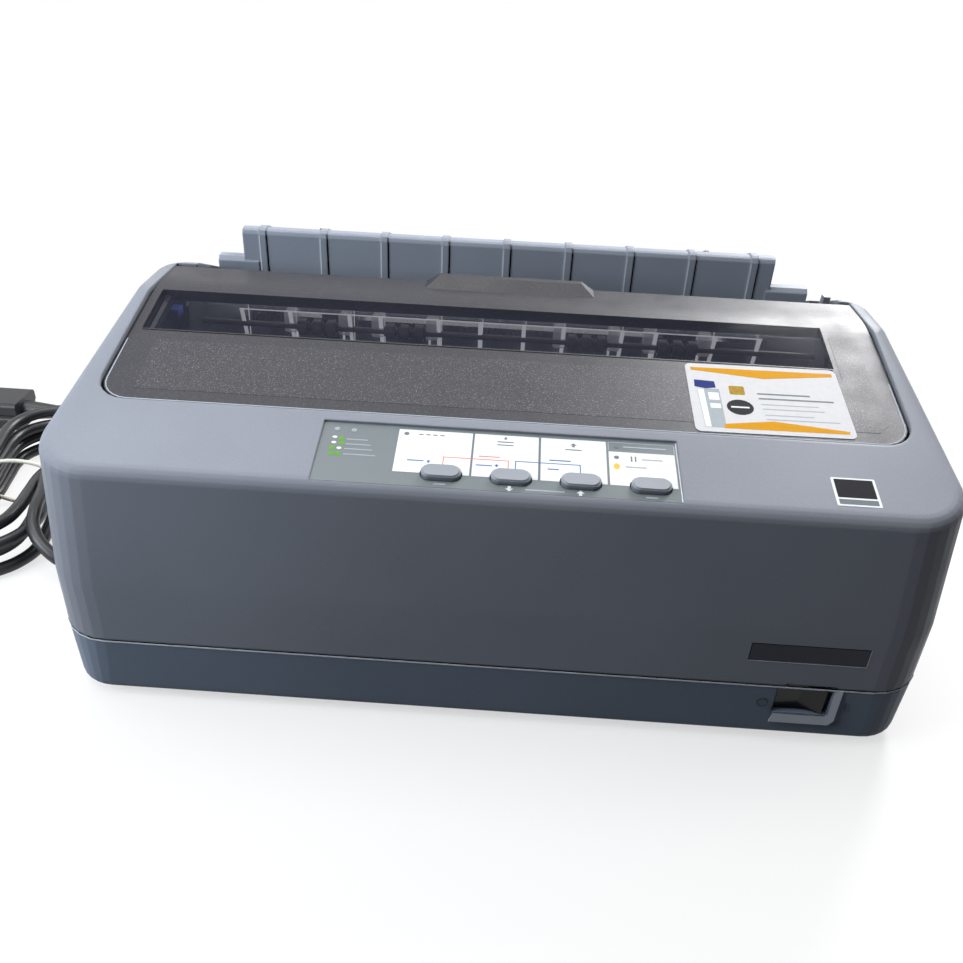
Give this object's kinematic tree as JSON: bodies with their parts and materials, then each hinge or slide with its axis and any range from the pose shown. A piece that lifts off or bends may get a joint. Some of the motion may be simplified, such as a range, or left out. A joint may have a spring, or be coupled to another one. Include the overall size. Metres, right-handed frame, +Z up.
{
  "type": "dot matrix printer",
  "caption": "Compact desktop impact printer with a smoked hinged cover, ribbed paper guide, push tractors, moving carriage, control panel and rocker switch.",
  "frame": {"origin": "on the surface it stands on, at the centre of its width and depth", "axes": "+X to the right, +Y to the rear, +Z up, seen from the operator's side"},
  "size_m": [0.527, 0.3412, 0.154],
  "materials": {
    "case_plastic": "fine-textured blue-grey moulded plastic",
    "base_plastic": "darker blue-grey moulded plastic",
    "foot_rubber": "matt",
    "sheet_steel": "zinc-plated sheet",
    "bright_steel": "ground",
    "circuit_board": "solder-masked board with parts",
    "white_nylon": "moulded, slightly waxy",
    "panel_film": "printed film",
    "clear_plastic": "clear moulded",
    "belt_rubber": "toothed inside",
    "cover_plastic": "smoked, speckled texture",
    "window_plastic": "smoked clear",
    "guide_plastic": "blue-grey moulded plastic",
    "dark_plastic": "moulded",
    "platen_rubber": "ground, matt",
    "roller_plastic": "moulded on steel shaft",
    "head_metal": "black die cast with fins",
    "cartridge_plastic": "moulded",
    "blue_plastic": "moulded",
    "button_plastic": "moulded, chamfered",
    "switch_plastic": "smooth",
    "cord_rubber": "soft black cord sheath, slightly glossy"
  },
  "bodies": {
    "printer": {"lower_case": "base_plastic", "upper_case": "case_plastic", "rubber_feet": "foot_rubber", "base_pan": "sheet_steel", "side_frame_left": "sheet_steel", "side_frame_right": "sheet_steel", "carriage_shaft": "bright_steel", "carriage_rail": "sheet_steel", "main_board": "circuit_board", "power_supply": "circuit_board", "feed_motor": "bright_steel", "carriage_motor": "bright_steel", "platen_bushes": "white_nylon", "panel_board": "circuit_board", "panel_plate": "panel_film", "interface_connectors": "bright_steel", "switch_housing": "base_plastic", "hinge_brackets": "base_plastic", "eject_frame": "clear_plastic", "tractor_rail": "bright_steel", "timing_belt": "belt_rubber", "strain_relief": "cord_rubber", "power_cord": "cord_rubber", "cord_hank": "cord_rubber", "plug_lead": "cord_rubber", "power_plug": "cord_rubber"},
    "cover": {"printer_cover": "cover_plastic", "cover_window": "window_plastic"},
    "guide": {"paper_guide": "guide_plastic"},
    "edge_left": {"edge_guide_left": "dark_plastic"},
    "edge_right": {"edge_guide_right": "dark_plastic"},
    "platen": {"platen_roller": "platen_rubber", "platen_shaft": "bright_steel", "platen_gear": "white_nylon", "platen_knob": "dark_plastic"},
    "idler": {"idler_gear": "white_nylon"},
    "pinion": {"feed_pinion": "white_nylon"},
    "tractor_drive": {"tractor_shaft": "bright_steel"},
    "tractor_l": {"tractor_left": "dark_plastic"},
    "tractor_r": {"tractor_right": "dark_plastic"},
    "sprocket_l": {"sprocket_left": "white_nylon"},
    "sprocket_r": {"sprocket_right": "white_nylon"},
    "door_l": {"tractor_door_left": "dark_plastic"},
    "door_r": {"tractor_door_right": "dark_plastic"},
    "lock_l": {"tractor_lock_left": "dark_plastic"},
    "lock_r": {"tractor_lock_right": "dark_plastic"},
    "tension": {"tension_rollers": "roller_plastic"},
    "carriage": {"carriage": "dark_plastic", "print_head": "head_metal", "ribbon_cartridge": "cartridge_plastic"},
    "ribbon_winder": {"ribbon_knob": "cartridge_plastic"},
    "pulley_right": {"drive_pulley": "white_nylon"},
    "pulley_left": {"idler_pulley": "white_nylon"},
    "thickness": {"thickness_lever": "blue_plastic"},
    "release": {"release_lever": "dark_plastic"},
    "button_1": {"button_1": "button_plastic"},
    "button_2": {"button_2": "button_plastic"},
    "button_3": {"button_3": "button_plastic"},
    "button_4": {"button_4": "button_plastic"},
    "rocker": {"power_rocker": "switch_plastic"}
  },
  "joints": [
    {"name": "cover_hinge", "type": "hinge", "parent": "printer", "child": "cover", "pos_m": [0, 0.002, 0.13553], "axis": [-1, 0, 0], "range_deg": [0, 75]},
    {"name": "guide_hinge", "type": "hinge", "parent": "printer", "child": "guide", "pos_m": [0, 0.048, 0.122], "axis": [1, 0, 0], "range_deg": [0, 70]},
    {"name": "edge_left_slide", "type": "slide", "parent": "guide", "child": "edge_left", "axis": [1, 0, 0], "range_m": [0, 0.085]},
    {"name": "edge_right_slide", "type": "slide", "parent": "guide", "child": "edge_right", "axis": [-1, 0, 0], "range_m": [0, 0.085]},
    {"name": "platen_spin", "type": "hinge", "parent": "printer", "child": "platen", "pos_m": [0, 0.014, 0.092], "axis": [1, 0, 0], "continuous": true},
    {"name": "idler_spin", "type": "hinge", "parent": "printer", "child": "idler", "pos_m": [0, 0.05213, 0.09564], "axis": [1, 0, 0], "continuous": true},
    {"name": "pinion_spin", "type": "hinge", "parent": "printer", "child": "pinion", "pos_m": [0, 0.02715, 0.06922], "axis": [1, 0, 0], "continuous": true},
    {"name": "tractor_drive_spin", "type": "hinge", "parent": "printer", "child": "tractor_drive", "pos_m": [0, 0.084, 0.086], "axis": [1, 0, 0], "continuous": true},
    {"name": "tractor_left_slide", "type": "slide", "parent": "printer", "child": "tractor_l", "axis": [1, 0, 0], "range_m": [-0.02, 0.05]},
    {"name": "sprocket_left_spin", "type": "hinge", "parent": "tractor_l", "child": "sprocket_l", "pos_m": [-0.096, 0.084, 0.086], "axis": [1, 0, 0], "continuous": true},
    {"name": "tractor_door_left_hinge", "type": "hinge", "parent": "tractor_l", "child": "door_l", "pos_m": [-0.1031, 0.084, 0.0996], "axis": [0, -1, 0], "range_deg": [0, 95]},
    {"name": "tractor_lock_left_hinge", "type": "hinge", "parent": "tractor_l", "child": "lock_l", "pos_m": [-0.106, 0.103, 0.086], "axis": [1, 0, 0], "range_deg": [0, 25]},
    {"name": "tractor_right_slide", "type": "slide", "parent": "printer", "child": "tractor_r", "axis": [-1, 0, 0], "range_m": [-0.02, 0.05]},
    {"name": "sprocket_right_spin", "type": "hinge", "parent": "tractor_r", "child": "sprocket_r", "pos_m": [0.096, 0.084, 0.086], "axis": [1, 0, 0], "continuous": true},
    {"name": "tractor_door_right_hinge", "type": "hinge", "parent": "tractor_r", "child": "door_r", "pos_m": [0.1031, 0.084, 0.0996], "axis": [0, 1, 0], "range_deg": [0, 95]},
    {"name": "tractor_lock_right_hinge", "type": "hinge", "parent": "tractor_r", "child": "lock_r", "pos_m": [0.106, 0.103, 0.086], "axis": [1, 0, 0], "range_deg": [0, 25]},
    {"name": "tension_spin", "type": "hinge", "parent": "printer", "child": "tension", "pos_m": [0, 0.001, 0.116], "axis": [1, 0, 0], "continuous": true},
    {"name": "carriage_slide", "type": "slide", "parent": "printer", "child": "carriage", "axis": [1, 0, 0], "range_m": [0, 0.204]},
    {"name": "ribbon_knob_spin", "type": "hinge", "parent": "carriage", "child": "ribbon_winder", "pos_m": [-0.13, -0.046, 0.104], "axis": [0, 0, 1], "continuous": true},
    {"name": "pulley_right_spin", "type": "hinge", "parent": "printer", "child": "pulley_right", "pos_m": [0.128, -0.07, 0.065], "axis": [0, 0, 1], "range_deg": [-1400, 20]},
    {"name": "pulley_left_spin", "type": "hinge", "parent": "printer", "child": "pulley_left", "pos_m": [-0.128, -0.07, 0.065], "axis": [0, 0, 1], "range_deg": [-1400, 20]},
    {"name": "thickness_hinge", "type": "hinge", "parent": "printer", "child": "thickness", "pos_m": [-0.158, -0.002, 0.096], "axis": [1, 0, 0], "range_deg": [0, 25]},
    {"name": "release_hinge", "type": "hinge", "parent": "printer", "child": "release", "pos_m": [0.1526, 0.024, 0.119], "axis": [1, 0, 0], "range_deg": [0, 12]},
    {"name": "button_1_press", "type": "slide", "parent": "printer", "child": "button_1", "axis": [0, 0.2453, -0.9694], "range_m": [0, 0.001], "stiffness_N_per_m": 400, "springref_m": -0.001},
    {"name": "button_2_press", "type": "slide", "parent": "printer", "child": "button_2", "axis": [0, 0.2453, -0.9694], "range_m": [0, 0.001], "stiffness_N_per_m": 400, "springref_m": -0.001},
    {"name": "button_3_press", "type": "slide", "parent": "printer", "child": "button_3", "axis": [0, 0.2453, -0.9694], "range_m": [0, 0.001], "stiffness_N_per_m": 400, "springref_m": -0.001},
    {"name": "button_4_press", "type": "slide", "parent": "printer", "child": "button_4", "axis": [0, 0.2453, -0.9694], "range_m": [0, 0.001], "stiffness_N_per_m": 400, "springref_m": -0.001},
    {"name": "rocker_tilt", "type": "hinge", "parent": "printer", "child": "rocker", "pos_m": [0.129, -0.132, 0.0236], "axis": [0, 0, 1], "range_deg": [0, 16]}
  ],
  "couplings": [
    {"joint": "idler_spin", "follows": "platen_spin", "ratio": -1.1111},
    {"joint": "pinion_spin", "follows": "platen_spin", "ratio": -3.3333},
    {"joint": "tractor_drive_spin", "follows": "platen_spin", "ratio": 1.3333},
    {"joint": "sprocket_left_spin", "follows": "platen_spin", "ratio": 1.3333},
    {"joint": "sprocket_right_spin", "follows": "platen_spin", "ratio": 1.3333},
    {"joint": "pulley_right_spin", "follows": "carriage_slide", "rad_per_m": -118.34},
    {"joint": "pulley_left_spin", "follows": "carriage_slide", "rad_per_m": -118.34}
  ]
}
